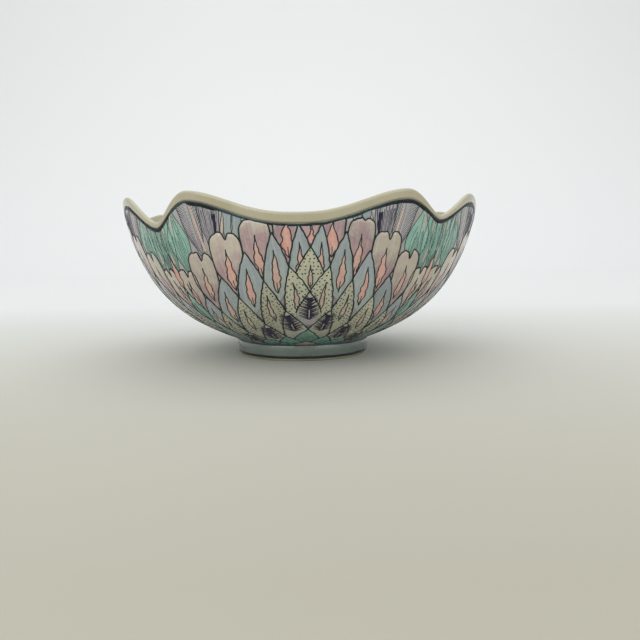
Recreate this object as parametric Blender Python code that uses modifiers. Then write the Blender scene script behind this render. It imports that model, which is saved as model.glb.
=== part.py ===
"""Porcelain serving bowl with a lobed rim.

A round moulded body stands on a turned foot ring. The rim rises and falls in four
lobes: four wide dips, four notches and eight peaks, of which the four front ones stand
higher. Glaze lines the inside and wraps over the lip, and the outside carries a coat of
painted enamels in four petal panels with a leaf field under each notch.

Units are metres, +Z up. The bowl stands on z = 0 with its axis on Z, and the middle of
its front lobe faces -Y. An azimuth of 0 is the front, and it grows towards +X.
"""
import math

import bmesh
import bpy
from mathutils import Vector

MM = 0.001

# Driving dimensions
RIM_RADIUS = 126.8 * MM        # outside of the body at the height of the peaks
PEAK_HEIGHT = 109.8 * MM       # top of the body's outer face at a peak of the front half
BACK_PEAK_HEIGHT = 103.0 * MM  # the same at a peak of the back half
DIP_HEIGHT = 96.3 * MM         # the same at the middle of a lobe
NOTCH_HEIGHTS = (95.0 * MM, 94.0 * MM, 94.0 * MM, 92.2 * MM)   # front right, then round
FOOT_RADIUS = 48.0 * MM        # outside of the foot ring at its top
FOOT_HEIGHT = 12.4 * MM        # where the wall leaves the foot ring
WALL = 4.2 * MM                # thickness of the body at the foot
LIP_WALL = 1.8 * MM            # thickness at the top of the wall curve
GAP = 0.3 * MM                 # clearance between touching pieces
COAT = 0.3 * MM                # thickness of a coat of glaze or enamel

# Lobes
LOBES = 4
QUARTER = 2.0 * math.pi / LOBES
NOTCH_AZIMUTH = QUARTER / 2.0
PEAK_ANGLES = tuple(math.radians(a) for a in (31.0, 27.5, 31.0, 26.0))   # front lobe, then round
DIP_HOLLOW = 1.38              # above 1, the rim stays low for longer
NOTCH_HOLLOW = 0.9

# The wall's outer face, from the foot to the peaks, is one Bezier curve (radius, height)
WALL_START = Vector((FOOT_RADIUS - 1.0 * MM, FOOT_HEIGHT))
WALL_LOW = Vector((74.6 * MM, 24.1 * MM))
WALL_HIGH = Vector((114.6 * MM, 36.8 * MM))
WALL_END = Vector((RIM_RADIUS, PEAK_HEIGHT + 2.7 * MM))

# Painted bands, measured down the wall from the lip
MARGIN_DIP = 4.2 * MM          # bare glaze above the rim line at a dip
MARGIN_PEAK = 3.8 * MM
MARGIN_NOTCHES = (0.6 * MM, 1.0 * MM, 1.0 * MM, 1.3 * MM)
LINE_WIDTH = 1.9 * MM          # the teal line under the margin
LINE_GAP = 0.5 * MM            # bare strips between the line and its neighbours
LEAF_HALF_ANGLE = math.radians(28.0)
LEAF_TIP_HEIGHT = 53.5 * MM    # lowest point of a leaf field, under the notch

# Foot
FOOT_BASE_RADIUS = 46.9 * MM
FOOT_INNER_RADIUS = 41.0 * MM
FOOT_INNER_BASE_RADIUS = 42.6 * MM
FOOT_EDGE = 1.1 * MM           # rounding of the unglazed standing edge
UNDERSIDE_HEIGHT = 12.0 * MM
FOOT_LINE_HEIGHT = 1.8 * MM
FOOT_LINE_WIDTH = 0.9 * MM
JOIN_LINE_WIDTH = 1.0 * MM

# Fineness of the mesh
STATIONS_PER_HALF_LOBE = 8
STATION_CROWDING = 1.4         # above 1, the sections crowd towards the notches
WALL_ROWS = 13
LIP_POINTS = 4
FOOT_STEPS = 56

PORCELAIN = ((0.80, 0.76, 0.66, 1.0), 0.45)
BISCUIT = ((0.62, 0.55, 0.42, 1.0), 0.75)
CLEAR_GLAZE = ((0.72, 0.68, 0.56, 1.0), 0.12)
TEAL = ((0.02, 0.09, 0.10, 1.0), 0.25)
PETAL_ENAMEL = ((0.55, 0.47, 0.42, 1.0), 0.22)
LEAF_ENAMEL = ((0.20, 0.36, 0.30, 1.0), 0.22)
FOOT_GLAZE = ((0.45, 0.53, 0.51, 1.0), 0.15)
INK = ((0.02, 0.03, 0.03, 1.0), 0.3)

parts = None


def clear_scene():
    for old in list(bpy.data.objects):
        bpy.data.objects.remove(old, do_unlink=True)


def material(name, finish):
    colour, roughness = finish
    made = bpy.data.materials.get(name) or bpy.data.materials.new(name)
    made.use_nodes = True
    shader = made.node_tree.nodes["Principled BSDF"]
    shader.inputs["Base Color"].default_value = colour
    shader.inputs["Roughness"].default_value = roughness
    shader.inputs["Metallic"].default_value = 0.0
    return made


def add_object(name, mesh, material_name, finish):
    mesh.materials.clear()
    mesh.materials.append(material(material_name, finish))
    mesh.shade_smooth()
    made = bpy.data.objects.new(name, mesh)
    parts.objects.link(made)
    return made


# The lobed wall


def ease(x):
    """Rise from 0 to 1 with level ends."""
    x = min(max(x, 0.0), 1.0)
    return x * x * (3.0 - 2.0 * x)


def lobe_angle(azimuth):
    """Angle from the middle of the nearest lobe, 0 at a dip and 45 degrees at a notch."""
    turned = (azimuth + QUARTER / 2.0) % QUARTER - QUARTER / 2.0
    return abs(turned)


def peak_angle(azimuth):
    """How far the two peaks of the nearest lobe stand from its middle."""
    return PEAK_ANGLES[round(azimuth / QUARTER) % LOBES]


def peak_share(azimuth):
    """1 on a peak, falling to 0 at the dip on one side and at the notch on the other."""
    angle, peak = lobe_angle(azimuth), peak_angle(azimuth)
    if angle < peak:
        return ease(angle / peak) ** DIP_HOLLOW
    return ease((NOTCH_AZIMUTH - angle) / (NOTCH_AZIMUTH - peak)) ** NOTCH_HOLLOW


def past_peak(azimuth):
    return lobe_angle(azimuth) >= peak_angle(azimuth)


def notch_index(azimuth):
    """Which notch an azimuth is nearest to, 0 for the front right."""
    return int(azimuth // QUARTER) % LOBES


def rim_height(azimuth):
    """Height of the wall's outer face at its top edge."""
    low = NOTCH_HEIGHTS[notch_index(azimuth)] if past_peak(azimuth) else DIP_HEIGHT
    high = PEAK_HEIGHT if math.cos(azimuth) >= 0.0 else BACK_PEAK_HEIGHT
    return low + (high - low) * peak_share(azimuth)


def margin(azimuth):
    """Drop from the lip to the painted rim line."""
    low = MARGIN_NOTCHES[notch_index(azimuth)] if past_peak(azimuth) else MARGIN_DIP
    return low + (MARGIN_PEAK - low) * peak_share(azimuth)


def wall_curve(t):
    """Radius and height on the wall's outer face, and its outward normal."""
    s = 1.0 - t
    place = (WALL_START * s ** 3 + WALL_LOW * 3.0 * s * s * t
             + WALL_HIGH * 3.0 * s * t * t + WALL_END * t ** 3)
    along = ((WALL_LOW - WALL_START) * s * s + (WALL_HIGH - WALL_LOW) * 2.0 * s * t
             + (WALL_END - WALL_HIGH) * t * t).normalized()
    return place, Vector((along.y, -along.x))


def wall_parameter(height):
    """Where the wall's outer face reaches a height, found by halving."""
    low, high = 0.0, 1.0
    for _ in range(40):
        middle = (low + high) / 2.0
        if wall_curve(middle)[0].y < height:
            low = middle
        else:
            high = middle
    return (low + high) / 2.0


def wall_section(t, offset):
    """A point in the section plane, offset outwards from the wall's outer face."""
    place, normal = wall_curve(t)
    return place + normal * offset


def wall_thickness(t):
    """The body thins from the foot to the lip."""
    return WALL + (LIP_WALL - WALL) * t


def at_azimuth(azimuth, section):
    """Turn a section point (radius, height) to its azimuth."""
    return Vector((section.x * math.sin(azimuth), -section.x * math.cos(azimuth), section.y))


def lobe_stations():
    """Azimuths of one half lobe, from the dip to the notch."""
    count = STATIONS_PER_HALF_LOBE
    return [NOTCH_AZIMUTH * (1.0 - (1.0 - i / count) ** STATION_CROWDING) for i in range(count + 1)]


def stations_between(first, last):
    """The shared azimuths that lie strictly between two others, with both ends."""
    half = lobe_stations()
    one_lobe = [-a for a in reversed(half[1:])] + half[:-1]
    every = [lobe * QUARTER + a for lobe in range(-LOBES, LOBES + 1) for a in one_lobe]
    slack = math.radians(0.8)
    inside = [a for a in every if first + slack < a < last - slack]
    return [first] + inside + [last]


def loft(name, sections, closed):
    """Skin a row of matching sections, and weld what meets at the axis or the seam."""
    rows = len(sections[0])
    columns = len(sections)
    bm = bmesh.new()
    grid = [[bm.verts.new(point) for point in section] for section in sections]
    for i in range(columns if closed else columns - 1):
        here, beside = grid[i], grid[(i + 1) % columns]
        for j in range(rows - 1):
            bm.faces.new((here[j], beside[j], beside[j + 1], here[j + 1]))
    bmesh.ops.remove_doubles(bm, verts=bm.verts, dist=0.01 * MM)
    bmesh.ops.dissolve_degenerate(bm, edges=bm.edges, dist=0.001 * MM)
    mesh = bpy.data.meshes.new(name)
    bm.to_mesh(mesh)
    bm.free()
    return mesh


def thicken(made, thickness, outwards):
    solid = made.modifiers.new("thickness", "SOLIDIFY")
    solid.thickness = thickness
    solid.offset = 1.0 if outwards else -1.0
    solid.use_even_offset = True
    solid.use_rim = True


def all_round():
    """The shared azimuths of the whole circle, without a repeat at the seam."""
    return stations_between(-math.pi - NOTCH_AZIMUTH, math.pi - NOTCH_AZIMUTH)[:-1]


def wall_rows(azimuth):
    """Curve parameters of the rows that every sheet on the wall shares at an azimuth."""
    top = wall_parameter(rim_height(azimuth))
    return [top * j / WALL_ROWS for j in range(WALL_ROWS + 1)]


def floor_outline(height):
    """Section of the floor, from the axis out to the foot ring."""
    return [Vector((share * FOOT_INNER_RADIUS, height)) for share in (0.0, 0.55, 1.0)]


def body_outline(azimuth):
    """Section of the body: along the underside, up the outer face and down the inner one."""
    rows = wall_rows(azimuth)
    top = rows[-1]
    outline = floor_outline(UNDERSIDE_HEIGHT)
    outline += [wall_section(t, 0.0) for t in rows]
    place, normal = wall_curve(top)
    up = Vector((-normal.y, normal.x))
    outline.append(place - normal * (wall_thickness(top) / 2.0) + up * (wall_thickness(top) * 0.3))
    outline += [wall_section(t, -wall_thickness(t)) for t in reversed(rows)]
    return outline + list(reversed(floor_outline(UNDERSIDE_HEIGHT + WALL)))


def make_body():
    """Wall and floor in one piece, thinnest at the rounded lip."""
    sections = [[at_azimuth(a, point) for point in body_outline(a)] for a in all_round()]
    add_object("bowl_body", loft("bowl_body", sections, True), "porcelain", PORCELAIN)


def lip_outline(azimuth):
    """Section of the clear glaze: up the inside, over the lip and down to the margin."""
    rim = rim_height(azimuth)
    top = wall_parameter(rim)
    outline = floor_outline(UNDERSIDE_HEIGHT + WALL + GAP)
    outline += [wall_section(t, -wall_thickness(t) - GAP) for t in wall_rows(azimuth)]
    place, normal = wall_curve(top)
    up = Vector((-normal.y, normal.x))
    half = wall_thickness(top) / 2.0
    centre = place - normal * half
    reach = half + GAP
    for i in range(1, LIP_POINTS):
        turn = math.pi * i / LIP_POINTS
        outline.append(centre - normal * (reach * math.cos(turn)) + up * (reach * math.sin(turn)))
    outline.append(wall_section(top, GAP))
    outline.append(wall_section(wall_parameter(rim - margin(azimuth)), GAP))
    return outline


def make_inside_glaze():
    sections = [[at_azimuth(a, point) for point in lip_outline(a)] for a in all_round()]
    glaze = add_object("inside_glaze", loft("inside_glaze", sections, True), "clear_glaze", CLEAR_GLAZE)
    thicken(glaze, COAT, False)


def rows_between(azimuth, low, high):
    """The shared rows pulled in to two limits, so that matching sections stay matching."""
    slack = 0.25 / WALL_ROWS
    rows = []
    for t in wall_rows(azimuth):
        if t < low + slack:
            t = low
        if t > high - slack:
            t = high
        rows.append(t)
    return [low] + rows[1:-1] + [high]


def outer_coat(name, azimuths, low_height, high_height, closed, paint):
    """A coat on the wall's outer face between two heights that vary with azimuth."""
    sections = []
    for azimuth in azimuths:
        low = wall_parameter(low_height(azimuth))
        high = wall_parameter(high_height(azimuth))
        rows = rows_between(azimuth, low, high)
        sections.append([at_azimuth(azimuth, wall_section(t, GAP)) for t in rows])
    made = add_object(name, loft(name, sections, closed), *paint)
    thicken(made, COAT, True)


def line_top(azimuth):
    return rim_height(azimuth) - margin(azimuth) - LINE_GAP


def line_bottom(azimuth):
    return line_top(azimuth) - LINE_WIDTH


def paint_top(azimuth):
    return line_bottom(azimuth) - LINE_GAP


def leaf_boundary(azimuth):
    """Height of the slanting edge between a petal panel and a leaf field."""
    from_notch = NOTCH_AZIMUTH - lobe_angle(azimuth)
    corner = paint_top(NOTCH_AZIMUTH - LEAF_HALF_ANGLE)
    return LEAF_TIP_HEIGHT + (corner - LEAF_TIP_HEIGHT) * from_notch / LEAF_HALF_ANGLE


def petal_top(azimuth):
    return min(paint_top(azimuth), leaf_boundary(azimuth) - LINE_GAP)


def petal_bottom(azimuth):
    return FOOT_HEIGHT + 3.2 * MM


def make_rim_line():
    outer_coat("rim_line", all_round(), line_bottom, line_top, True, ("teal_enamel", TEAL))


def make_petal_panels():
    side_gap = math.radians(0.25)
    for index, side in enumerate(("front", "right", "back", "left")):
        middle = index * QUARTER
        azimuths = stations_between(middle - NOTCH_AZIMUTH + side_gap, middle + NOTCH_AZIMUTH - side_gap)
        outer_coat(side + "_petal_panel", azimuths, petal_bottom, petal_top, False,
                   ("petal_enamel", PETAL_ENAMEL))


def make_leaf_fields():
    reach = LEAF_HALF_ANGLE - math.radians(1.5)
    for index, corner in enumerate(("front_right", "back_right", "back_left", "front_left")):
        middle = NOTCH_AZIMUTH + index * QUARTER
        azimuths = stations_between(middle - reach, middle + reach)
        outer_coat(corner + "_leaf_field", azimuths, leaf_boundary, paint_top, False,
                   ("leaf_enamel", LEAF_ENAMEL))


# The foot


def turned(name, outline, closed_outline, paint):
    """Turn a profile (radius, height) round the axis with a Screw modifier."""
    mesh = bpy.data.meshes.new(name)
    count = len(outline)
    edges = [(i, i + 1) for i in range(count - 1)]
    if closed_outline:
        edges.append((count - 1, 0))
    mesh.from_pydata([(radius, 0.0, height) for radius, height in outline], edges, [])
    made = add_object(name, mesh, *paint)
    screw = made.modifiers.new("turn", "SCREW")
    screw.axis = "Z"
    screw.steps = FOOT_STEPS
    screw.render_steps = FOOT_STEPS
    screw.use_merge_vertices = True
    screw.merge_threshold = 0.01 * MM
    screw.use_smooth_shade = True
    return made


def foot_side(height):
    """Outer radius of the foot ring, which tapers in towards the table."""
    return FOOT_BASE_RADIUS + (FOOT_RADIUS - FOOT_BASE_RADIUS) * height / FOOT_HEIGHT


def make_foot_ring():
    top = UNDERSIDE_HEIGHT - GAP
    outline = [
        (FOOT_INNER_RADIUS, top),
        (foot_side(top), top),
        (foot_side(FOOT_EDGE), FOOT_EDGE),
        (foot_side(0.0) - 0.3 * FOOT_EDGE, 0.3 * FOOT_EDGE),
        (foot_side(0.0) - FOOT_EDGE, 0.0),
        (FOOT_INNER_BASE_RADIUS + FOOT_EDGE, 0.0),
        (FOOT_INNER_BASE_RADIUS + 0.3 * FOOT_EDGE, 0.3 * FOOT_EDGE),
        (FOOT_INNER_BASE_RADIUS, FOOT_EDGE),
    ]
    turned("foot_ring", outline, True, ("biscuit", BISCUIT))


def foot_band(name, low, high, paint):
    """A thin coat round the outside of the foot ring between two heights."""
    outline = [
        (foot_side(high) + GAP, high),
        (foot_side(high) + GAP + COAT, high),
        (foot_side(low) + GAP + COAT, low),
        (foot_side(low) + GAP, low),
    ]
    turned(name, outline, True, paint)


def make_foot_coats():
    top = UNDERSIDE_HEIGHT - GAP
    join_low = top - JOIN_LINE_WIDTH
    line_high = FOOT_LINE_HEIGHT + FOOT_LINE_WIDTH
    foot_band("join_line", join_low, top, ("teal_enamel", TEAL))
    foot_band("foot_glaze", line_high + GAP, join_low - GAP, ("foot_glaze", FOOT_GLAZE))
    foot_band("foot_line", FOOT_LINE_HEIGHT, line_high, ("ink_enamel", INK))


def make_base_glaze():
    """The glazed disc on the underside, inside the foot ring."""
    radius = FOOT_INNER_RADIUS - 2.0 * GAP
    top = UNDERSIDE_HEIGHT - GAP
    bm = bmesh.new()
    bmesh.ops.create_cone(bm, cap_ends=True, cap_tris=False, segments=FOOT_STEPS,
                          radius1=radius, radius2=radius, depth=COAT)
    bmesh.ops.translate(bm, verts=bm.verts, vec=(0.0, 0.0, top - COAT / 2.0))
    mesh = bpy.data.meshes.new("base_glaze")
    bm.to_mesh(mesh)
    bm.free()
    made = add_object("base_glaze", mesh, "clear_glaze", CLEAR_GLAZE)
    made.data.set_sharp_from_angle(angle=math.radians(40.0))


def main():
    global parts
    clear_scene()
    parts = bpy.data.collections.new("porcelain_serving_bowl")
    bpy.context.scene.collection.children.link(parts)
    make_body()
    make_foot_ring()
    make_inside_glaze()
    make_rim_line()
    make_petal_panels()
    make_leaf_fields()
    make_foot_coats()
    make_base_glaze()


main()
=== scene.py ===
"""Looks of the porcelain serving bowl: fine glaze, painted enamels, camera and studio.

Positions on the wall are given as (azimuth, run): the azimuth in degrees, 0 at the front
and growing towards +X, and the run up the wall from the foot ring in millimetres.
"""
import bisect
import math
import random

import bmesh
import bpy
from mathutils import Matrix, Vector, noise


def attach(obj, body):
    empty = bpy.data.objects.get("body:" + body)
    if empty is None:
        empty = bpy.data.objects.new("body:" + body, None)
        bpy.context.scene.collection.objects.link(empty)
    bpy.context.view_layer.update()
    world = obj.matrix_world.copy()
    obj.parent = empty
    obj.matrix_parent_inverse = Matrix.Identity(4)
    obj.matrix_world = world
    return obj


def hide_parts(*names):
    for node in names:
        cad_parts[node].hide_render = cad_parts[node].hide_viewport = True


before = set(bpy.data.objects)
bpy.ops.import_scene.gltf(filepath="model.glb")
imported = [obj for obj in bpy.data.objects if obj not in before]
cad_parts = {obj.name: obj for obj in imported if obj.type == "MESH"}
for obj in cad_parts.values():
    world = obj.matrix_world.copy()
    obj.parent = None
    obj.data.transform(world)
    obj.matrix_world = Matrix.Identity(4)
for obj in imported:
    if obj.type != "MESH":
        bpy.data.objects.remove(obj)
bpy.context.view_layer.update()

MM = 0.001

# The bowl's form, in millimetres, as the CAD part has it
PEAK_HEIGHT, BACK_PEAK_HEIGHT, DIP_HEIGHT = 109.8, 103.0, 96.3
NOTCH_HEIGHTS = (95.0, 94.0, 94.0, 92.2)
WALL, LIP_WALL, GAP, COAT = 4.2, 1.8, 0.3, 0.3
PEAK_ANGLES, NOTCH_AZIMUTH = (31.0, 27.5, 31.0, 26.0), 45.0
DIP_HOLLOW, NOTCH_HOLLOW = 1.38, 0.9
WALL_CURVE = (Vector((47.0, 12.4)), Vector((74.6, 24.1)), Vector((114.6, 36.8)), Vector((126.8, 112.5)))
MARGIN_DIP, MARGIN_PEAK, MARGIN_NOTCHES = 4.2, 3.8, (0.6, 1.0, 1.0, 1.3)
FOOT_INNER_RADIUS, FOOT_INNER_BASE = 41.0, 42.6
FOOT_BASE_RADIUS, FOOT_TOP_RADIUS, FOOT_HEIGHT = 46.9, 48.0, 12.4
UNDERSIDE = 12.0
FOOT_EDGE = 1.1
SIDES = ("front", "right", "back", "left")
CORNERS = ("front_right", "back_right", "back_left", "front_left")

# Lifts of the enamels above the wall's outer face
GROUND = GAP + COAT
LAYERS = {"sky": 0.02, "plume": 0.05, "sea": 0.09, "shaft": 0.14,
          "mauve": 0.24, "sage": 0.33, "stippled": 0.42, "feather": 0.51, "green": 0.60}
LINE_LIFT = 0.04
LINE_CROWN = 0.015             # extra height along the middle of a line
ORDER_LIFT = 0.008             # step between neighbours in a row, so that they overlap cleanly
FILL_LIFT = 0.025              # slivers and fine strokes above their petal
BARB_LIFT = 0.03

# Widths of the painted lines
OUTLINE, SLIVER_LINE, VEIN, BLADE_LINE = 0.85, 0.66, 0.55, 0.5

PANEL_TURN = 3.7               # degrees that the painter set each panel round from its lobe
REACH_UNDER = 1.75             # a petal runs on under the next row, to this share of its edge
TIP_TO_ROOT = 1.4              # share of the edge over which a petal's colours change
FLANK_BULGE = 0.03
DOT_SPACING, DOT_ROWS = 2.25, 2.3
BARB_START, BARB_END, BARB_STEP = 4.6, 24.0, 0.85
BUMP_DEPTH = 0.08


# The wall


def ease(x):
    x = min(max(x, 0.0), 1.0)
    return x * x * (3.0 - 2.0 * x)


def lobe_angle(azimuth):
    return abs((azimuth + 45.0) % 90.0 - 45.0)


def peak_angle(azimuth):
    return PEAK_ANGLES[round(azimuth / 90.0) % 4]


def peak_share(azimuth):
    angle, peak = lobe_angle(azimuth), peak_angle(azimuth)
    if angle < peak:
        return ease(angle / peak) ** DIP_HOLLOW
    return ease((NOTCH_AZIMUTH - angle) / (NOTCH_AZIMUTH - peak)) ** NOTCH_HOLLOW


def notch_index(azimuth):
    return int(azimuth // 90.0) % 4


def rim_height(azimuth):
    low = NOTCH_HEIGHTS[notch_index(azimuth)] if lobe_angle(azimuth) >= peak_angle(azimuth) else DIP_HEIGHT
    high = PEAK_HEIGHT if math.cos(math.radians(azimuth)) >= 0.0 else BACK_PEAK_HEIGHT
    return low + (high - low) * peak_share(azimuth)


def margin(azimuth):
    low = MARGIN_NOTCHES[notch_index(azimuth)] if lobe_angle(azimuth) >= peak_angle(azimuth) else MARGIN_DIP
    return low + (MARGIN_PEAK - low) * peak_share(azimuth)


def wall_curve(t):
    """Radius and height on the wall's outer face, and its outward normal."""
    a, b, c, d = WALL_CURVE
    s = 1.0 - t
    place = a * s ** 3 + b * 3.0 * s * s * t + c * 3.0 * s * t * t + d * t ** 3
    along = ((b - a) * s * s + (c - b) * 2.0 * s * t + (d - c) * t * t).normalized()
    return place, Vector((along.y, -along.x))


def wall_thickness(t):
    """The body thins from the foot to the lip."""
    return WALL + (LIP_WALL - WALL) * t


STEPS = 800
runs, heights = [0.0], [WALL_CURVE[0].y]
for step in range(STEPS):
    before, after = wall_curve(step / STEPS)[0], wall_curve((step + 1) / STEPS)[0]
    runs.append(runs[-1] + (after - before).length)
    heights.append(after.y)


def table_parameter(table, value):
    """Curve parameter where a rising table reaches a value."""
    i = min(max(bisect.bisect_left(table, value), 1), STEPS)
    share = (value - table[i - 1]) / (table[i] - table[i - 1])
    return (i - 1 + share) / STEPS


def run_at_height(height):
    t = table_parameter(heights, height)
    i = min(int(t * STEPS), STEPS - 1)
    return runs[i] + (runs[i + 1] - runs[i]) * (t * STEPS - i)


def turned_point(azimuth, radius, height):
    """A point in metres at an azimuth in degrees."""
    angle = math.radians(azimuth)
    return Vector((radius * math.sin(angle), -radius * math.cos(angle), height)) * MM


def on_wall(azimuth, run, lift):
    place, normal = wall_curve(table_parameter(runs, run))
    spot = place + normal * lift
    return turned_point(azimuth, spot.x, spot.y)


def degree_length(run):
    """Millimetres in a degree of azimuth at this run up the wall."""
    return wall_curve(table_parameter(runs, run))[0].x * math.pi / 180.0


def paint_limit(azimuth):
    """Run of the middle of the rim line, which is where the painting stops."""
    return run_at_height(rim_height(azimuth) - margin(azimuth) - 1.3)


def wobble(a, b, seed):
    """Smooth noise from -1 to 1."""
    return noise.noise(Vector((a, b, seed * 7.31)))


# Meshes


class Sheet:
    """The visible faces of one enamel, with the mark (across, along, shade) its material reads."""

    def __init__(self):
        self.points, self.marks, self.faces = [], [], []

    def add_grid(self, rows):
        """Rows of (point, mark), joined to a grid."""
        start, width = len(self.points), len(rows[0])
        for row in rows:
            for point, mark in row:
                self.points.append(point)
                self.marks.append(mark)
        for i in range(len(rows) - 1):
            for j in range(width - 1):
                corner = start + i * width + j
                self.faces.append((corner, corner + width, corner + width + 1, corner + 1))

    def add_disc(self, azimuth, run, radius, lift, crown, mark, sides=6):
        """A small domed dot."""
        start = len(self.points)
        self.points.append(on_wall(azimuth, run, lift + crown))
        self.marks.append(mark)
        scale = degree_length(run)
        for i in range(sides):
            angle = 2.0 * math.pi * i / sides + run
            self.points.append(on_wall(azimuth + radius * math.cos(angle) / scale,
                                       run + radius * math.sin(angle), lift))
            self.marks.append(mark)
        for i in range(sides):
            self.faces.append((start, start + 1 + i, start + 1 + (i + 1) % sides))


INSIDE = Vector((0.0, 0.0, 130.0 * MM))


def finish_piece(name, mesh, finish, nodes):
    mesh.materials.append(finish)
    mesh.shade_smooth()
    made = bpy.data.objects.new(name, mesh)
    bpy.context.scene.collection.objects.link(made)
    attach(made, "root")
    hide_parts(*nodes)
    return made


def enamel_piece(name, sheet, finish, nodes, thickness=0.2):
    """A closed piece of enamel: the sheet, thickened into the coat under it."""
    mesh = bpy.data.meshes.new(name)
    mesh.from_pydata(sheet.points, [], sheet.faces)
    marks = mesh.attributes.new("petal", "FLOAT_VECTOR", "POINT")
    marks.data.foreach_set("vector", [value for mark in sheet.marks for value in mark])
    bm = bmesh.new()
    bm.from_mesh(mesh)
    bmesh.ops.remove_doubles(bm, verts=bm.verts, dist=0.002 * MM)
    bmesh.ops.dissolve_degenerate(bm, edges=bm.edges, dist=0.002 * MM)
    bm.normal_update()
    for face in bm.faces:
        if face.normal.dot(face.calc_center_median() - INSIDE) < 0.0:
            face.normal_flip()
    bm.to_mesh(mesh)
    bm.free()
    made = finish_piece(name, mesh, finish, nodes)
    solid = made.modifiers.new("thickness", "SOLIDIFY")
    solid.thickness = thickness * MM
    solid.offset = -1.0
    solid.use_even_offset = False
    return made


def round_piece(name, sections, finish, nodes):
    """A closed piece from closed sections (radius, height) all round the axis."""
    mesh = bpy.data.meshes.new(name)
    count, around = len(sections[0]), len(sections)
    points, faces = [], []
    for i, section in enumerate(sections):
        points += [turned_point(360.0 * i / around, radius, height) for radius, height in section]
        beside = (i + 1) % around
        for j in range(count):
            k = (j + 1) % count
            faces.append((i * count + j, i * count + k, beside * count + k, beside * count + j))
    mesh.from_pydata(points, [], faces)
    bm = bmesh.new()
    bm.from_mesh(mesh)
    bmesh.ops.remove_doubles(bm, verts=bm.verts, dist=0.002 * MM)
    bmesh.ops.dissolve_degenerate(bm, edges=bm.edges, dist=0.001 * MM)
    bmesh.ops.recalc_face_normals(bm, faces=bm.faces)
    bm.to_mesh(mesh)
    bm.free()
    return finish_piece(name, mesh, finish, nodes)


# Materials


def colour(red, green, blue):
    """A colour as a display shows it, 0 to 255, made linear."""
    return tuple(((v / 255.0 + 0.055) / 1.055) ** 2.4 if v > 10 else v / 3294.0
                 for v in (red, green, blue)) + (1.0,)


class Nodes:
    """Short names for building a material's nodes."""

    def __init__(self, name):
        self.material = bpy.data.materials.new(name)
        self.material.use_nodes = True
        self.tree = self.material.node_tree
        self.shader = self.tree.nodes["Principled BSDF"]

    def put(self, kind, inputs=(), **settings):
        node = self.tree.nodes.new(kind)
        for key, value in settings.items():
            setattr(node, key, value)
        for key, value in inputs:
            self.feed(node.inputs[key], value)
        return node

    def feed(self, socket, value):
        if isinstance(value, bpy.types.NodeSocket):
            self.tree.links.new(value, socket)
        else:
            socket.default_value = value

    def maths(self, operation, first, second=0.0, clamp=False):
        node = self.put("ShaderNodeMath", ((0, first), (1, second)), operation=operation, use_clamp=clamp)
        return node.outputs[0]

    def blend(self, share, first, second, mode="MIX"):
        node = self.put("ShaderNodeMix", ((0, share), (6, first), (7, second)),
                        data_type="RGBA", blend_type=mode)
        return node.outputs[2]

    def ramp(self, value, stops):
        node = self.put("ShaderNodeValToRGB", (("Fac", value),))
        elements = node.color_ramp.elements
        while len(elements) < len(stops):
            elements.new(0.5)
        for element, (place, shade) in zip(elements, stops):
            element.position = place
            element.color = shade
        return node.outputs["Color"]

    def spread(self, value, low, high, out_low=0.0, out_high=1.0):
        node = self.put("ShaderNodeMapRange", (("Value", value), ("From Min", low), ("From Max", high),
                                               ("To Min", out_low), ("To Max", out_high)))
        return node.outputs["Result"]

    def grain(self, scale, detail=3.0, vector=None):
        inputs = [("Scale", scale), ("Detail", detail), ("Roughness", 0.55)]
        inputs.append(("Vector", vector or self.place()))
        return self.put("ShaderNodeTexNoise", inputs).outputs["Fac"]

    def place(self):
        return self.put("ShaderNodeTexCoord").outputs["Object"]

    def mark(self):
        """Across, along and shade, from the piece's own attribute."""
        node = self.put("ShaderNodeAttribute", attribute_name="petal")
        parts = self.put("ShaderNodeSeparateXYZ", (("Vector", node.outputs["Vector"]),))
        return node.outputs["Vector"], parts.outputs["X"], parts.outputs["Y"], parts.outputs["Z"]

    def gloss(self, low, high, driver, bump_height, bump_strength):
        """Roughness between two values, and a bump."""
        self.feed(self.shader.inputs["Roughness"], self.spread(driver, 0.3, 0.7, low, high))
        bump = self.put("ShaderNodeBump", (("Strength", bump_strength), ("Distance", BUMP_DEPTH * MM),
                                           ("Height", bump_height)))
        self.feed(self.shader.inputs["Normal"], bump.outputs["Normal"])

    def done(self, shade):
        self.feed(self.shader.inputs["Base Color"], shade)
        return self.material


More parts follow.
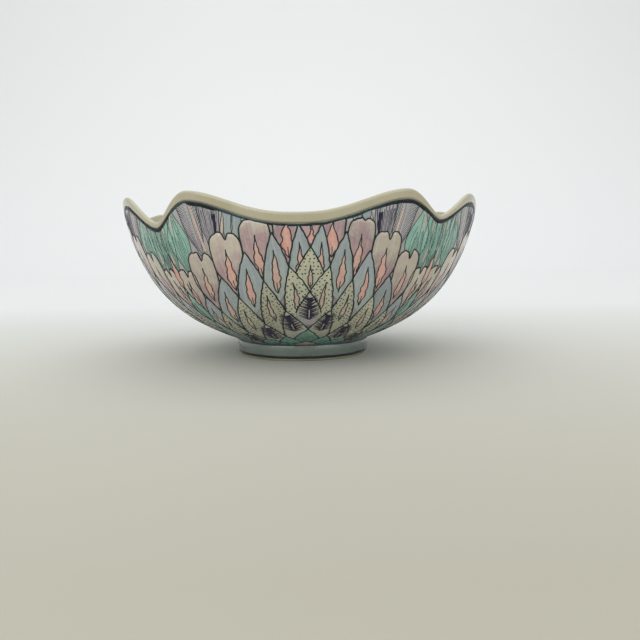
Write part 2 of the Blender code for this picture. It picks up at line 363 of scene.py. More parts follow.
def enamel(name, stops, tint, tint_share=0.5, streak=0.35, low=0.16, high=0.34, by_shade=None):
    """A brushed enamel: colour stops from the tip to the root, clouded with a second tint.
    Pieces with a low shade take the colour by_shade."""
    n = Nodes(name)
    n.shader.inputs["Coat Weight"].default_value = 0.35
    n.shader.inputs["Coat Roughness"].default_value = 0.08
    mark, across, along, shade = n.mark()
    cloud = n.grain(170.0, 3.0)
    fine = n.grain(900.0, 2.0)
    stretched = n.put("ShaderNodeMapping", (("Vector", mark), ("Scale", (7.0, 1.1, 9.0)))).outputs["Vector"]
    brush = n.grain(1.6, 3.0, stretched)
    ramp_place = n.maths("ADD", along, n.maths("MULTIPLY", n.maths("SUBTRACT", cloud, 0.5), 0.7))
    base = n.ramp(ramp_place, stops)
    if by_shade:
        base = n.blend(n.spread(shade, 0.25, 0.75, 1.0, 0.0), base, by_shade)
    base = n.blend(n.maths("MULTIPLY", n.spread(cloud, 0.38, 0.62), tint_share), base, tint)
    pale = n.blend(0.5, base, (1.0, 1.0, 1.0, 1.0))
    base = n.blend(n.maths("MULTIPLY", n.spread(brush, 0.48, 0.72), streak), base, pale)
    deep = n.blend(1.0, base, (0.62, 0.62, 0.66, 1.0), "MULTIPLY")
    edge = n.maths("POWER", n.maths("ABSOLUTE", across), 6.0)
    pooled = n.maths("MULTIPLY", edge, 0.35)
    worn = n.maths("MULTIPLY", n.spread(fine, 0.55, 0.75), 0.28)
    base = n.blend(n.maths("ADD", pooled, worn, True), base, deep)
    level = n.spread(shade, 0.0, 1.0, 0.9, 1.1)
    base = n.put("ShaderNodeHueSaturation", (("Color", base), ("Value", level))).outputs["Color"]
    relief = n.maths("ADD", n.maths("MULTIPLY", brush, 0.6), n.maths("MULTIPLY", fine, 0.4))
    n.gloss(low, high, cloud, relief, 0.35)
    return n.done(base)


def glaze(name, main, second, speck, low, high, cloud_scale=45.0):
    """A clear or tinted glaze over the body, with faint clouds, iron specks and orange peel."""
    n = Nodes(name)
    n.shader.inputs["Coat Weight"].default_value = 0.4
    n.shader.inputs["Coat Roughness"].default_value = 0.06
    cloud = n.grain(cloud_scale, 3.0)
    fine = n.grain(700.0, 2.0)
    peel = n.grain(320.0, 1.0)
    base = n.blend(n.spread(cloud, 0.36, 0.64), main, second)
    base = n.blend(n.maths("MULTIPLY", n.spread(fine, 0.68, 0.78), 0.5), base, speck)
    n.gloss(low, high, cloud, peel, 0.12)
    return n.done(base)


def ink(name, dark, thin):
    """Dense line enamel that thins where its mark's shade is low."""
    n = Nodes(name)
    n.shader.inputs["Specular IOR Level"].default_value = 0.3
    shade = n.mark()[3]
    cloud = n.grain(420.0, 3.0)
    share = n.maths("ADD", shade, n.maths("MULTIPLY", n.maths("SUBTRACT", cloud, 0.5), 0.9), True)
    base = n.blend(share, thin, dark)
    n.gloss(0.28, 0.45, cloud, cloud, 0.3)
    return n.done(base)


SAGE, SAGE_GREEN = colour(146, 156, 160), colour(154, 164, 158)
CREAM, MAUVE, ROSE = colour(190, 182, 164), colour(158, 134, 138), colour(180, 150, 146)
OLIVE, OLIVE_DEEP = colour(184, 181, 156), colour(170, 170, 146)
SALMON, SALMON_PALE = colour(204, 146, 132), colour(196, 172, 154)
GREEN, GREEN_DEEP, SEA = colour(108, 158, 140), colour(62, 112, 98), colour(142, 184, 168)
LILAC, NAVY = colour(170, 162, 166), colour(30, 28, 56)
LINE_DARK = colour(10, 24, 26)

finishes = {
    "sage": enamel("sage_enamel", ((0.0, SAGE), (0.55, SAGE), (1.0, SAGE_GREEN)), SAGE_GREEN, 0.55),
    "mauve": enamel("mauve_enamel", ((0.0, CREAM), (0.3, CREAM), (0.62, MAUVE), (1.0, ROSE)),
                    ROSE, 0.35, 0.3),
    "stippled": enamel("stippled_ground", ((0.0, OLIVE), (1.0, OLIVE_DEEP)),
                       colour(178, 182, 158), 0.5, 0.3),
    "feather": enamel("feather_ground", ((0.0, OLIVE), (0.6, OLIVE), (1.0, LILAC)),
                      colour(166, 174, 156), 0.4, 0.3),
    "green": enamel("leaf_green_enamel", ((0.0, SEA), (0.45, GREEN), (1.0, GREEN_DEEP)),
                    GREEN_DEEP, 0.4, 0.3),
    "sliver": enamel("sliver_enamel", ((0.0, SALMON_PALE), (0.35, SALMON), (1.0, SALMON)),
                     SALMON_PALE, 0.6, 0.4, by_shade=SALMON_PALE),
    "shaft": enamel("shaft_enamel", ((0.0, SALMON_PALE), (1.0, colour(196, 166, 150))),
                    colour(202, 184, 166), 0.5),
    "ground": enamel("ground_enamel", ((0.0, colour(172, 166, 158)), (0.35, colour(168, 164, 160)),
                                       (1.0, LILAC)), colour(160, 150, 156), 0.6, 0.4),
    "plume": enamel("plume_enamel", ((0.0, colour(172, 174, 168)), (0.5, colour(172, 166, 168)),
                                     (1.0, LILAC)), colour(158, 158, 164), 0.5, 0.5),
    "sea": enamel("sea_green_enamel", ((0.0, colour(132, 164, 150)), (0.35, SEA), (1.0, GREEN)),
                  GREEN, 0.5, 0.45),
    "lines": ink("line_enamel", LINE_DARK, colour(84, 108, 104)),
    "navy": ink("navy_enamel", NAVY, colour(108, 96, 116)),
    "rim": ink("rim_enamel", colour(2, 14, 22), colour(46, 84, 88)),
    "clear": glaze("clear_glaze", colour(180, 174, 148), colour(172, 165, 138),
                   colour(150, 138, 108), 0.1, 0.2),
    "foot": glaze("foot_glaze", colour(114, 127, 118), colour(102, 113, 106),
                  colour(76, 84, 74), 0.18, 0.32),
    "biscuit": glaze("biscuit", colour(150, 146, 118), colour(128, 122, 96),
                     colour(84, 76, 58), 0.6, 0.85),
    "porcelain": glaze("porcelain", colour(214, 208, 192), colour(206, 198, 180),
                       colour(180, 170, 150), 0.4, 0.5),
    "join": glaze("join_line_enamel", colour(26, 50, 52), colour(14, 32, 36),
                  colour(70, 92, 90), 0.3, 0.5, 160.0),
    "foot_line": glaze("foot_line_enamel", colour(8, 14, 16), colour(18, 26, 26),
                       colour(60, 70, 66), 0.3, 0.5, 160.0),
}


# Glaze, rim line and foot


def lip_section(azimuth):
    """The clear glaze's section: the face against the body, then the visible face."""
    rim = rim_height(azimuth)
    top = table_parameter(heights, rim)
    foot_end = table_parameter(heights, rim - margin(azimuth))
    crest, out = wall_curve(top)
    up = Vector((-out.y, out.x))
    half = wall_thickness(top) / 2.0
    centre = crest - out * half

    def face(extra):
        floor = UNDERSIDE + WALL + GAP + extra
        points = [Vector((FOOT_INNER_RADIUS * share, floor)) for share in (0.0, 0.3, 0.6, 0.85, 1.0)]
        for j in range(1, 41):
            t = top * j / 40.0
            place, normal = wall_curve(t)
            points.append(place - normal * (wall_thickness(t) + GAP + extra))
        reach = half + GAP + extra
        for j in range(1, 12):
            turn = math.pi * j / 12.0
            points.append(centre - out * (reach * math.cos(turn)) + up * (reach * math.sin(turn)))
        for j in range(5):
            place, normal = wall_curve(top + (foot_end - top) * j / 4.0)
            points.append(place + normal * (GAP + extra))
        return points

    return face(0.0) + list(reversed(face(COAT)))


def make_inside_glaze():
    sections = [[tuple(p) for p in lip_section(360.0 * i / 360)] for i in range(360)]
    round_piece("inside_glaze_fine", sections, finishes["clear"], ["inside_glaze"])


# How dense the rim line is round one lobe: (degrees from the lobe's middle, density)
RIM_DENSITY = ((-45, 1.0), (-39, 0.9), (-36, 0.35), (-31.5, 0.3), (-30, 1.0), (-23, 1.0), (-19, 0.35),
               (-11, 0.3), (-5, 0.75), (6, 0.8), (12, 0.6), (20, 0.6), (26, 0.9), (34, 1.0),
               (39, 0.9), (45, 1.0))


def rim_density(azimuth):
    angle = (azimuth + 45.0) % 90.0 - 45.0
    for (a, first), (b, second) in zip(RIM_DENSITY, RIM_DENSITY[1:]):
        if a <= angle <= b:
            return first + (second - first) * ease((angle - a) / (b - a))
    return 1.0


def make_rim_line():
    sheet = Sheet()
    rows = []
    for i in range(721):
        azimuth = i * 0.5
        density = rim_density(azimuth)
        height = rim_height(azimuth) - margin(azimuth)
        top = run_at_height(height - 0.55) + 0.25 * wobble(azimuth * 0.25, 0.0, 1.0)
        width = 1.15 + 1.2 * density ** 3 + 0.45 * wobble(azimuth * 0.4, 3.0, 2.0)
        rows.append([(on_wall(azimuth, top - width * j / 3.0, GROUND + 0.28 - 0.05 * abs(j - 1.5)),
                      (j / 1.5 - 1.0, (azimuth % 90.0) / 90.0, density)) for j in range(4)])
    sheet.add_grid(rows)
    enamel_piece("rim_line_fine", sheet, finishes["rim"], ["rim_line"], 0.35)


def foot_side(height):
    return FOOT_BASE_RADIUS + (FOOT_TOP_RADIUS - FOOT_BASE_RADIUS) * height / FOOT_HEIGHT


def foot_band(low, high, lift, crown):
    """Section of a coat on the side of the foot: its visible face, then the face behind it."""
    reach = [(high, lift - crown), (high - 0.15, lift), (low + 0.15, lift), (low, lift - crown)]
    return [(foot_side(h) + x, h) for h, x in reach] + [(foot_side(low) + 0.05, low),
                                                         (foot_side(high) + 0.05, high)]


def make_foot():
    around = 240
    top = UNDERSIDE - GAP
    ring, glaze_band, join, line = [], [], [], []
    for i in range(around):
        azimuth = 360.0 * i / around
        turn = math.radians(azimuth)
        worn = 0.12 * wobble(math.sin(turn) * 6.0, math.cos(turn) * 6.0, 5.0)
        section = [(FOOT_INNER_RADIUS, top), (foot_side(top), top)]
        for j in range(7):
            angle = math.pi / 2.0 * j / 6.0
            section.append((foot_side(0.0) - FOOT_EDGE + FOOT_EDGE * math.cos(angle),
                            FOOT_EDGE - FOOT_EDGE * math.sin(angle)))
        for j in range(7):
            angle = math.pi / 2.0 * j / 6.0
            section.append((FOOT_INNER_BASE + FOOT_EDGE - FOOT_EDGE * math.sin(angle),
                            FOOT_EDGE - FOOT_EDGE * math.cos(angle)))
        ring.append(section)
        join_low = top - 1.1 + 2.5 * worn
        line_low = 1.7 + worn
        line_high = 3.5 + 1.6 * worn
        glaze_band.append(foot_band(2.0 + worn, top, 0.5, 0.15))
        join.append(foot_band(join_low, top + 0.6, 0.62, 0.3))
        line.append(foot_band(line_low, line_high, 0.62, 0.05))
    round_piece("foot_ring_fine", ring, finishes["biscuit"], ["foot_ring"])
    round_piece("foot_glaze_fine", glaze_band, finishes["foot"], ["foot_glaze"])
    round_piece("join_line_fine", join, finishes["join"], ["join_line"])
    round_piece("foot_line_fine", line, finishes["foot_line"], ["foot_line"])
    under = [[(0.0, top), (FOOT_INNER_RADIUS - 2.0 * GAP, top),
              (FOOT_INNER_RADIUS - 2.0 * GAP, top - COAT),
              (FOOT_INNER_RADIUS * 0.5, top - COAT - 0.04), (0.0, top - COAT)]] * 120
    round_piece("base_glaze_fine", under, finishes["clear"], ["base_glaze"])


# The painting. Tips of the petals in each chevron, from a panel's middle outwards.
SAGE_TIPS = ((3.15, 114.5), (10.1, 110.0), (18.0, 98.5), (27.1, 81.7), (37.0, 66.5))
STIPPLED_TIPS = ((0.0, 101.0), (5.9, 89.0), (13.8, 79.5), (23.4, 67.0), (34.0, 53.5), (43.5, 42.0))
FEATHER_TIPS = ((0.0, 71.6), (8.4, 55.8), (18.1, 40.7), (31.0, 27.0), (43.0, 16.0))
GREEN_TIPS = ((0.0, 34.0), (11.5, 22.0), (25.0, 15.0), (39.0, 10.0))
MAUVE_TIPS = ((0.0, 128.0), (6.4, 124.5), (14.8, 117.5), (23.4, 110.0), (32.4, 98.0), (40.2, 86.5))


class Panel:
    """One painted quarter of the wall."""

    def __init__(self, index):
        self.index = index
        self.middle = index * 90.0
        self.rng = random.Random(40 + index)
        self.sheets = {key: Sheet() for key in
                       ("mauve", "sage", "stippled", "feather", "green", "sliver", "lines", "navy")}

    def azimuth(self, angle):
        """Azimuth of an angle from the panel's middle, with the painter's turn of the panel."""
        return self.middle + angle + PANEL_TURN * (1.0 - abs(angle) / 90.0)

    def spot(self, place, lift):
        azimuth = self.azimuth(place.x)
        return on_wall(azimuth, min(max(place.y, 1.0), paint_limit(azimuth)), lift)

    def stroke(self, kind, path, width, lift, shade=0.85, taper=0.0):
        """A ribbon of line enamel along a path of (angle, run)."""
        count = len(path)
        seed = self.rng.random() * 50.0
        rows = []
        for i, here in enumerate(path):
            ahead, behind = path[min(i + 1, count - 1)], path[max(i - 1, 0)]
            scale = degree_length(max(here.y, 1.0))
            along = Vector(((ahead.x - behind.x) * scale, ahead.y - behind.y))
            along = along.normalized() if along.length > 0 else Vector((0.0, 1.0))
            share = i / max(count - 1, 1)
            thin = 1.0 - taper * share
            half = width * thin * (0.5 + 0.13 * wobble(share * 9.0, seed, 1.0))
            side = Vector((-along.y / scale, along.x)) * half
            level = shade + 0.2 * wobble(share * 5.0, seed, 2.0)
            rows.append([(self.spot(here + side * k, lift + (LINE_CROWN if k == 0 else 0.0)),
                          (float(k), share, level)) for k in (-1, 0, 1)])
        self.sheets[kind].add_grid(rows)

    def flank(self, tip, end, scale, outwards, seed, reach):
        """A petal's edge from its tip to the next chevron's tip and on beneath it."""
        along = Vector(((end.x - tip.x) * scale, end.y - tip.y))
        length = along.length
        across = Vector((-along.y, along.x)) / length
        if across.x * outwards < 0.0:
            across = -across

        def at(share):
            swell = FLANK_BULGE * length * 4.0 * share * (1.0 - share) if share < 1.0 else 0.0
            swell += 0.55 * wobble(share * length * 0.3, seed, 3.0) * ease(share * 5.0)
            place = along * share + across * swell
            if share > 1.0:
                place = along + reach * (share - 1.0) * length
            return Vector((tip.x + place.x / scale, tip.y + place.y))
        return at, length

    def pointed(self, kind, sign, tip, inner, outer, lift, order, sliver=None):
        """A pointed petal that ends under the tips of the two petals below it."""
        tip, inner, outer = (Vector((p[0] * sign, p[1])) for p in (tip, inner, outer))
        scale = degree_length(tip.y - 8.0)
        seed = self.rng.random() * 50.0
        shade = self.rng.random()
        middle = (inner + outer) / 2.0
        axis = Vector(((middle.x - tip.x) * scale, middle.y - tip.y)).normalized()
        lean = 1.0 if outer.x >= inner.x else -1.0
        left, left_length = self.flank(tip, inner, scale, -lean, seed, axis)
        right, right_length = self.flank(tip, outer, scale, lean, seed + 9.0, axis)
        lift += GROUND + ORDER_LIFT * order + (0.003 if sign > 0 else 0.0)
        count, columns = 22, 8
        rows = []
        for i in range(count + 1):
            share = REACH_UNDER * i / count
            first, second = left(share), right(share)
            rows.append([(self.spot(first.lerp(second, j / columns), lift),
                          (2.0 * j / columns - 1.0, share / TIP_TO_ROOT, shade))
                         for j in range(columns + 1)])
        self.sheets[kind].add_grid(rows)
        for edge, length in ((left, left_length), (right, right_length)):
            steps = max(int(length / 0.9), 6)
            path = [edge(k / steps) for k in range(steps + 1)]
            self.stroke("lines", path, OUTLINE, lift + LINE_LIFT)
        if sliver:
            self.sliver(tip, axis, scale, sliver, lift)
        return left, right, lift, scale, axis, tip

    def sliver(self, tip, axis, scale, form, lift):
        """A flame-shaped sliver along a petal's middle: (start, length, half width, shade)."""
        start, length, half, shade = form
        seed = self.rng.random() * 50.0
        across = Vector((-axis.y, axis.x))
        curve = self.rng.uniform(-0.5, 0.5)

        def edge(t, side):
            swell = math.sin(math.pi * t ** 1.45) ** 1.15 if 0.0 < t < 1.0 else 0.0
            swell = half * (swell + 0.5 * wobble(t * 9.0, seed, side) * min(swell * 3.0, 1.0))
            middle = axis * (start + length * t) + across * (curve * math.sin(math.pi * t * 1.6))
            place = middle + across * (swell * side)
            return Vector((tip.x + place.x / scale, tip.y + place.y))
        rows = []
        for i in range(17):
            t = i / 16.0
            rows.append([(self.spot(edge(t, 1.0).lerp(edge(t, -1.0), j / 4.0), lift + FILL_LIFT),
                          (j / 2.0 - 1.0, t, shade)) for j in range(5)])
        self.sheets["sliver"].add_grid(rows)
        for side in (-1.0, 1.0):
            path = [edge(k / 24.0, side) for k in range(25)]
            self.stroke("lines", path, SLIVER_LINE, lift + LINE_LIFT + 0.01)
        path = [edge(0.72 + 0.28 * k / 8.0, 0.0) for k in range(9)]
        self.stroke("lines", path, VEIN, lift + LINE_LIFT + 0.01, 0.7)

    def dots(self, left, right, lift, scale, length, avoid):
        """Rows of small dots over a petal."""
        row, share = 0, 0.16
        while share < 1.15:
            first, second = left(share), right(share)
            width = math.hypot((second.x - first.x) * scale, second.y - first.y)
            count = int((width - 1.0) / DOT_SPACING)
            for j in range(count):
                along = (j + 0.5 + 0.25 * (row % 2)) / (count + 0.25)
                place = first.lerp(second, min(along, 0.93))
                place.x += self.rng.uniform(-0.45, 0.45) / scale
                place.y += self.rng.uniform(-0.45, 0.45)
                if avoid(place):
                    continue
                azimuth = self.azimuth(place.x)
                if place.y > paint_limit(azimuth) - 0.8 or place.y < 2.0:
                    continue
                self.sheets["lines"].add_disc(azimuth, place.y, self.rng.uniform(0.42, 0.6),
                                              lift + 0.02, 0.06, (0.0, 0.5, self.rng.uniform(0.8, 1.0)))
            share += DOT_ROWS / length
            row += 1

    def barbs(self, lift, axis, scale, tip):
        """The dark heart of a feather petal and its radiating barbs."""
        across = Vector((-axis.y, axis.x))

        def local(down, aside):
            place = axis * down + across * aside
            return Vector((tip.x + place.x / scale, tip.y + place.y))
        self.stroke("navy", [local(4.5 + 11.0 * k / 10.0, 0.25 * math.sin(k)) for k in range(11)],
                    2.6, lift + BARB_LIFT, 1.0)
        down = BARB_START
        while down < BARB_END:
            for side in (-1.0, 1.0):
                reach = (1.8 + 0.32 * down) * self.rng.uniform(0.8, 1.15)
                reach = min(reach, 6.4)
                rise = self.rng.uniform(3.0, 4.6)
                path = [local(down - rise * (k / 6.0) ** 0.8 + 1.5, side * (0.2 + reach * k / 6.0))
                        for k in range(7)]
                self.stroke("navy", path, 0.85, lift + BARB_LIFT, 0.95, 0.75)
            down += BARB_STEP
        self.stroke("sliver", [local(15.0 + 8.0 * k / 6.0, 0.0) for k in range(7)], 0.7, lift + 0.06, 0.0)

    def mauve(self, sign, index):
        """A round petal. All but the two inner ones have a cleft at the top."""
        tip = Vector((MAUVE_TIPS[index][0] * sign, MAUVE_TIPS[index][1]))
        root = Vector((STIPPLED_TIPS[index][0] * sign, STIPPLED_TIPS[index][1]))
        half = (6.0, 7.2, 8.6, 9.9, 9.2, 7.6)[index]
        scale = degree_length(tip.y - 12.0)
        axis = Vector(((tip.x - root.x) * scale, tip.y - root.y))
        height = axis.length
        axis /= height
        across = Vector((axis.y, -axis.x))
        seed = self.rng.random() * 50.0
        shade = self.rng.random()
        lift = GROUND + LAYERS["mauve"] - ORDER_LIFT * index

        def at(u, share):
            crown = 0.24 * (math.sqrt(max(1.0 - u ** 4, 0.0)) - 1.0)
            cleft = (0.0, 0.0, -0.03, -0.11, -0.13, -0.12)[index] * math.exp(-((u - 0.1) / 0.13) ** 2)
            ripple = 0.02 * wobble(u * 4.0, seed, 4.0)
            up = height * share * (1.0 + crown + cleft + ripple)
            spread = ease(0.12 + share * 1.25)
            aside = u * half * spread * (1.0 + 0.03 * wobble(share * 4.0, seed, 5.0))
            place = axis * up + across * aside
            return Vector((root.x + place.x / scale, root.y + place.y))
        rows = []
        for i in range(15):
            share = 1.0 - 0.95 * i / 14.0
            depth = 1.0 - share + (0.35, 0.35, 0.35, 0.08, 0.0, 0.0)[index]
            rows.append([(self.spot(at(j / 9.0 - 1.0, share), lift), (j / 9.0 - 1.0, depth, shade))
                         for j in range(19)])
        self.sheets["mauve"].add_grid(rows)
        edge = [at(-1.0, 0.25 + 0.75 * k / 16.0) for k in range(17)]
        edge += [at(-1.0 + 2.0 * k / 44.0, 1.0) for k in range(1, 45)]
        edge += [at(1.0, 1.0 - 0.75 * k / 16.0) for k in range(1, 17)]
        self.stroke("lines", edge, OUTLINE, lift + LINE_LIFT)
        form = ((13.0, 16.0, 2.2, 0.9), (6.0, 24.0, 3.3, 0.8), (9.0, 28.0, 2.5, 0.6),
                (10.0, 28.0, 2.7, 1.0), (10.0, 25.0, 2.3, 0.6), (8.0, 22.0, 2.0, 0.45))[index]
        self.sliver(tip, -axis, scale, form, lift)

    def paint(self):
        for sign in (1, -1):
            for i in range(len(MAUVE_TIPS)):
                if i or sign > 0:
                    self.mauve(sign, i)
        for sign in (1, -1):
            for i, tip in enumerate(SAGE_TIPS):
                form = (10.5, 29.0, 2.6, self.rng.uniform(0.4, 1.0))
                self.pointed("sage", sign, tip, STIPPLED_TIPS[i], STIPPLED_TIPS[i + 1],
                             LAYERS["sage"], i, form)
        for sign in (1, -1):
            for i, tip in enumerate(STIPPLED_TIPS[:5]):
                if i == 0 and sign < 0:
                    continue
                inner, outer = (FEATHER_TIPS[i - 1], FEATHER_TIPS[i]) if i else ((-4.2, 84.8), (4.2, 84.8))
                form = (10.5, 25.0, 1.7, self.rng.uniform(0.0, 0.35)) if i else (11.0, 16.0, 1.5, 0.0)
                left, right, lift, scale, axis, top = self.pointed(
                    "stippled", sign, tip, inner, outer, LAYERS["stippled"], i, form)
                across = Vector((-axis.y, axis.x))

                def in_sliver(place):
                    offset = Vector(((place.x - top.x) * scale, place.y - top.y))
                    down, aside = offset.dot(axis), abs(offset.dot(across))
                    t = (down - form[0]) / form[1]
                    if not -0.05 < t < 1.05:
                        return False
                    return aside < form[2] * math.sin(math.pi * min(max(t, 0.0), 1.0) ** 1.3) + 0.8
                length = (left(1.0) - left(0.0)).y
                self.dots(left, right, lift, scale, max(abs(length), 12.0), in_sliver)
        for sign in (1, -1):
            for i, tip in enumerate(FEATHER_TIPS[:4]):
                if i == 0 and sign < 0:
                    continue
                inner, outer = (GREEN_TIPS[i - 1], GREEN_TIPS[i]) if i else ((-4.8, 54.0), (4.8, 54.0))
                lift, scale, axis, top = self.pointed(
                    "feather", sign, tip, inner, outer, LAYERS["feather"], i)[2:]
                self.barbs(lift, axis, scale, top)
        for sign in (1, -1):
            for i, tip in enumerate(GREEN_TIPS[:3]):
                if i == 0 and sign < 0:
                    continue
                inner, outer = (((GREEN_TIPS[i - 1][0] + 1.0, 5.0), (GREEN_TIPS[i][0] + 8.0, 4.0))
                                if i else ((-8.0, 15.0), (8.0, 15.0)))
                self.pointed("green", sign, tip, inner, outer, LAYERS["green"], i)

        self.paint_border()

    def paint_border(self):
        """What stands on the line between two panels, and the blush at a panel's base."""
        level = GROUND + LAYERS["sage"] - 0.05
        down = Vector((0.0, -1.0))
        scale = degree_length(80.0)
        for angle, top, length, half, shade in ((45.0, 97.0, 26.0, 2.5, 0.9), (42.3, 74.0, 20.0, 1.5, 0.5),
                                                (47.9, 76.0, 22.0, 1.5, 0.7), (44.2, 60.0, 20.0, 1.2, 0.4)):
            self.sliver(Vector((angle, top)), down, scale, (0.0, length, half, shade), level)
        self.pointed("green", 1, (45.2, 70.0), (41.0, 44.0), (49.4, 44.0), LAYERS["sage"] - 0.02, 0)
        self.pointed("green", 1, (46.0, 42.0), (40.5, 20.0), (50.5, 20.0), LAYERS["green"] - 0.04, 0)
        self.pointed("sliver", 1, (0.0, 9.5), (-8.5, 3.0), (8.5, 3.0), LAYERS["green"] + 0.07, 0)

    def make_ground(self):
        sheet = Sheet()
        rows = []
        columns, steps = 60, 44
        for i in range(steps + 1):
            row = []
            for j in range(columns + 1):
                azimuth = self.middle - 45.0 + 90.0 * j / columns
                top = paint_limit(azimuth)
                run = 0.8 + (top - 0.8) * (1.0 - i / steps)
                row.append((on_wall(azimuth, run, GROUND),
                            (2.0 * j / columns - 1.0, 1.0 - run / 125.0, 0.5)))
            rows.append(row)
        sheet.add_grid(rows)
        side = SIDES[self.index]
        enamel_piece(side + "_ground", sheet, finishes["ground"],
                     [side + "_petal_panel"], 0.28)

    def make(self):
        side = SIDES[self.index]
        node = [side + "_petal_panel"]
        self.make_ground()
        self.paint()
        for kind, suffix in (("mauve", "_mauve_petals"), ("sage", "_sage_petals"),
                             ("stippled", "_stippled_petals"), ("feather", "_feather_petals"),
                             ("green", "_green_leaves"), ("sliver", "_slivers"),
                             ("lines", "_outlines"), ("navy", "_barbs")):
            thickness = 0.12 if kind in ("lines", "navy", "sliver") else 0.2
            enamel_piece(side + suffix, self.sheets[kind], finishes[kind], node, thickness)


# Blades of a leaf field, for one side of a notch: the enamel, the top and the foot as
# (degrees from the lobe's middle, run), and the half widths at the top, middle and foot
BLADES = (
    ("sky", (15.6, 124.0), (17.3, 104.0), (3.0, 3.0, 1.6)),
    ("sky", (18.4, 124.0), (19.3, 104.0), (3.0, 3.0, 1.6)),
    ("plume", (24.2, 128.0), (24.0, 101.0), (7.4, 6.4, 3.6)),
    ("plume", (31.4, 130.0), (28.6, 96.0), (7.8, 6.4, 2.0)),
    ("sea", (37.4, 127.0), (35.6, 80.0), (0.6, 9.0, 2.6)),
    ("sea", (41.4, 126.0), (41.4, 82.0), (3.4, 5.6, 1.6)),
    ("sea", (44.6, 122.0), (44.6, 86.0), (4.2, 4.4, 1.4)),
    ("shaft", (29.9, 128.0), (27.2, 98.0), (0.3, 0.7, 0.9)),
    ("shaft", (20.0, 119.0), (21.3, 105.0), (0.6, 1.1, 0.2)),
    ("shaft", (37.6, 121.0), (38.5, 108.5), (0.35, 0.55, 0.15)),
    ("shaft", (42.2, 119.0), (42.2, 107.0), (0.3, 0.6, 0.3)),
    ("shaft", (42.1, 99.0), (41.8, 90.0), (0.15, 0.75, 0.9)),
)


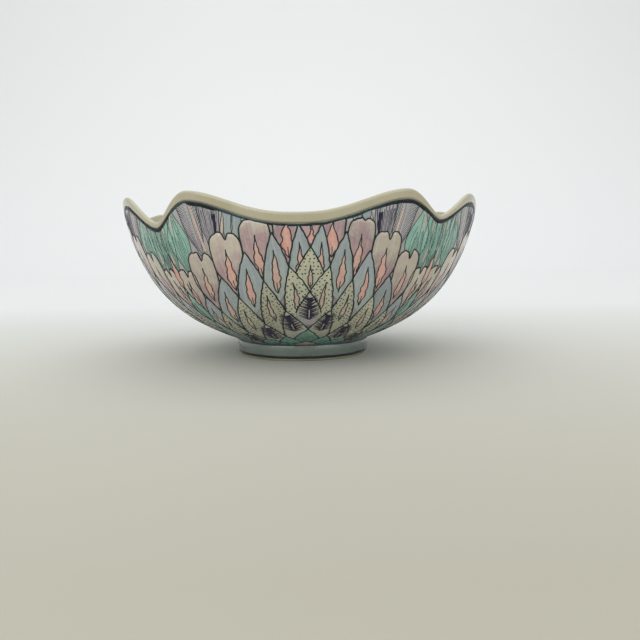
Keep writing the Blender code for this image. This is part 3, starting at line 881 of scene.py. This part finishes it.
class LeafField:
    """The blades that fan out on both sides of a notch."""

    def __init__(self, index):
        self.index = index
        self.notch = 45.0 + 90.0 * index
        self.rng = random.Random(90 + index)
        self.sheets = {key: Sheet() for key in ("sky", "plume", "sea", "shaft", "lines", "navy")}

    def spot(self, side, place, lift):
        azimuth = self.notch + side * (45.0 - place.x)
        return on_wall(azimuth, min(place.y, paint_limit(azimuth)), lift)

    def stroke(self, kind, side, path, width, lift, shade, taper=0.5):
        rows, count = [], len(path)
        seed = self.rng.random() * 50.0
        for i, here in enumerate(path):
            ahead, behind = path[min(i + 1, count - 1)], path[max(i - 1, 0)]
            scale = degree_length(here.y)
            along = Vector(((ahead.x - behind.x) * scale, ahead.y - behind.y)).normalized()
            share = i / (count - 1)
            half = width * (1.0 - taper * share) * (0.5 + 0.12 * wobble(share * 8.0, seed, 1.0))
            across = Vector((-along.y / scale, along.x)) * half
            rows.append([(self.spot(side, here + across * k, lift + (LINE_CROWN if k == 0 else 0.0)),
                          (float(k), share, shade)) for k in (-1, 0, 1)])
        self.sheets[kind].add_grid(rows)

    def blade(self, side, kind, top, foot, halves, order):
        top, foot = Vector(top), Vector(foot)
        scale = degree_length((top.y + foot.y) / 2.0)
        along = Vector(((foot.x - top.x) * scale, foot.y - top.y))
        length = along.length
        along /= length
        across = Vector((-along.y, along.x))
        seed, shade = self.rng.random() * 50.0, self.rng.random()
        lift = GROUND + LAYERS[kind] - 0.003 * order

        def at(share, aside):
            if share < 0.5:
                half = halves[0] + (halves[1] - halves[0]) * ease(share * 2.0)
            else:
                half = halves[1] + (halves[2] - halves[1]) * ease(share * 2.0 - 1.0)
            half *= 1.0 + 0.12 * wobble(share * 5.0, seed, aside)
            place = along * (length * share) + across * (half * aside)
            return Vector((top.x + place.x / scale, top.y + place.y))
        rows = [[(self.spot(side, at(i / 18.0, j / 3.0 - 1.0), lift), (j / 3.0 - 1.0, i / 18.0, shade))
                 for j in range(7)] for i in range(19)]
        self.sheets[kind].add_grid(rows)
        if kind != "shaft" or halves[1] > 1.0:
            for aside in (-1.0, 1.0):
                self.stroke("lines", side, [at(k / 20.0, aside) for k in range(21)], BLADE_LINE,
                            lift + LINE_LIFT, 0.55, 0.2)
        if kind == "sea":
            count = int(halves[1] * 0.9)
            for k in range(count):
                aside = (k + 0.5) / count * 1.7 - 0.85
                start = self.rng.uniform(0.1, 0.5)
                path = [at(start + (0.97 - start) * j / 12.0, aside * (0.55 + 0.45 * j / 12.0))
                        for j in range(13)]
                self.stroke("lines", side, path, BLADE_LINE, lift + FILL_LIFT,
                            self.rng.uniform(0.0, 0.5), 0.6)
        if kind == "plume":
            if order == 3:
                for k in range(20):
                    share = -0.25 + 1.1 * k / 20
                    for aside in (-1.0, 1.0):
                        path = [at(max(share + 0.2 * j / 8.0, 0.0), aside * (0.96 - 0.86 * j / 8.0))
                                for j in range(9)]
                        self.stroke("navy", side, path, 0.38, lift + BARB_LIFT,
                                    self.rng.uniform(0.6, 1.0), 0.4)
            else:
                for k in range(13):
                    aside = -0.92 + 1.84 * (k + 0.5) / 13
                    start, end = self.rng.uniform(0.0, 0.25), self.rng.uniform(0.7, 0.98)
                    path = [at(start + (end - start) * j / 10.0, aside * (1.0 - 0.25 * j / 10.0))
                            for j in range(11)]
                    self.stroke("navy", side, path, self.rng.uniform(0.3, 0.8), lift + BARB_LIFT,
                                self.rng.uniform(0.2, 1.0), 0.6)

    def make(self):
        corner = CORNERS[self.index]
        node = [corner + "_leaf_field"]
        for side in (-1, 1):
            for order, (kind, top, foot, halves) in enumerate(BLADES):
                self.blade(side, kind, top, foot, halves, order)
            patch = [Vector((22.6 + 0.1 * math.sin(k), 121.0 - 13.0 * k / 10.0)) for k in range(11)]
            self.stroke("navy", side, patch, 2.8, GROUND + LAYERS["shaft"], 1.0, 0.6)
        for kind, suffix, finish in (("sky", "_sky_petals", "sage"), ("plume", "_plumes", "plume"),
                                     ("sea", "_blades", "sea"), ("shaft", "_shafts", "shaft"),
                                     ("lines", "_outlines", "lines"), ("navy", "_barbs", "navy")):
            thickness = 0.12 if kind in ("lines", "navy", "shaft") else 0.2
            enamel_piece(corner + suffix, self.sheets[kind], finishes[finish], node, thickness)


# Studio


def make_floor():
    """A pale sheet that lies flat under the bowl and curves up behind it."""
    profile = [(-5.0, 0.0), (1.1, 0.0)]
    profile += [(1.1 + 0.9 * math.sin(math.radians(a)), 0.9 - 0.9 * math.cos(math.radians(a)))
                for a in range(6, 91, 6)]
    profile.append((2.0, 3.0))
    points, faces = [], []
    for y, z in profile:
        points += [(-5.0, y, z), (5.0, y, z)]
    for i in range(len(profile) - 1):
        faces.append((2 * i, 2 * i + 1, 2 * i + 3, 2 * i + 2))
    mesh = bpy.data.meshes.new("floor")
    mesh.from_pydata(points, [], faces)
    mesh.shade_smooth()
    n = Nodes("floor_cloth")
    cloud = n.grain(1.6, 2.0)
    depth = n.put("ShaderNodeSeparateXYZ", (("Vector", n.place()),)).outputs["Y"]
    base = n.blend(n.spread(cloud, 0.35, 0.65), colour(184, 181, 165), colour(179, 175, 160))
    # Painted shading: the cloth is darker at the front and turns paler towards the back and palest up the
    # backdrop, standing in for how the studio light falls on it.
    base = n.blend(n.spread(depth, -0.35, 0.35), base, colour(222, 224, 222))
    base = n.blend(n.spread(depth, 0.3, 1.2), base, colour(230, 231, 230))
    n.gloss(0.75, 0.9, cloud, n.grain(60.0, 2.0), 0.05)
    mesh.materials.append(n.done(base))
    made = bpy.data.objects.new("floor", mesh)
    bpy.context.scene.collection.objects.link(made)


def add_light(name, place, target, size, power, tint=(1.0, 1.0, 1.0)):
    light = bpy.data.lights.new(name, "AREA")
    light.shape = "RECTANGLE"
    light.size, light.size_y = size
    light.energy = power
    light.color = tint
    made = bpy.data.objects.new(name, light)
    made.location = place
    made.rotation_euler = (Vector(target) - Vector(place)).to_track_quat("-Z", "Y").to_euler()
    bpy.context.scene.collection.objects.link(made)


def make_studio():
    make_floor()
    world = bpy.data.worlds.new("studio")
    world.use_nodes = True
    background = world.node_tree.nodes["Background"]
    background.inputs["Color"].default_value = (0.96, 0.98, 1.0, 1.0)
    background.inputs["Strength"].default_value = 0.8
    bpy.context.scene.world = world
    add_light("top_softbox", (0.0, 0.1, 1.5), (0.0, 0.0, 0.05), (2.2, 1.8), 5.5)
    add_light("window", (-0.9, -1.3, 0.9), (0.0, 0.0, 0.05), (1.4, 1.2), 9.0, (1.0, 0.99, 0.98))
    add_light("fill", (1.1, -1.2, 0.5), (0.0, 0.0, 0.05), (1.2, 0.9), 4.0)
    add_light("backdrop_wash", (0.0, 0.7, 1.9), (0.0, 2.0, 0.7), (2.4, 0.8), 8.0)


def make_camera():
    """The camera stands a little to the right of the front, and a little lower than the rim."""
    distance, height = 0.5039, 0.0812
    azimuth, heading, pitch, roll = (math.radians(a) for a in (1.2, 0.28, 6.60, 0.64))
    camera = bpy.data.cameras.new("camera")
    camera.sensor_width = 36.0
    camera.lens = 37.97
    made = bpy.data.objects.new("camera", camera)
    stand = Vector((distance * math.sin(azimuth), -distance * math.cos(azimuth), height))
    made.matrix_world = (Matrix.Translation(stand) @ Matrix.Rotation(-heading, 4, "Z")
                         @ Matrix.Rotation(math.pi / 2.0 - pitch, 4, "X") @ Matrix.Rotation(-roll, 4, "Z"))
    bpy.context.scene.collection.objects.link(made)
    bpy.context.scene.camera = made


bpy.context.scene.view_settings.view_transform = "Standard"
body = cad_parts["bowl_body"]
for slot in body.material_slots:
    slot.material = finishes["porcelain"]
make_inside_glaze()
make_rim_line()
make_foot()
for quarter in range(4):
    Panel(quarter).make()
    LeafField(quarter).make()
make_studio()
make_camera()
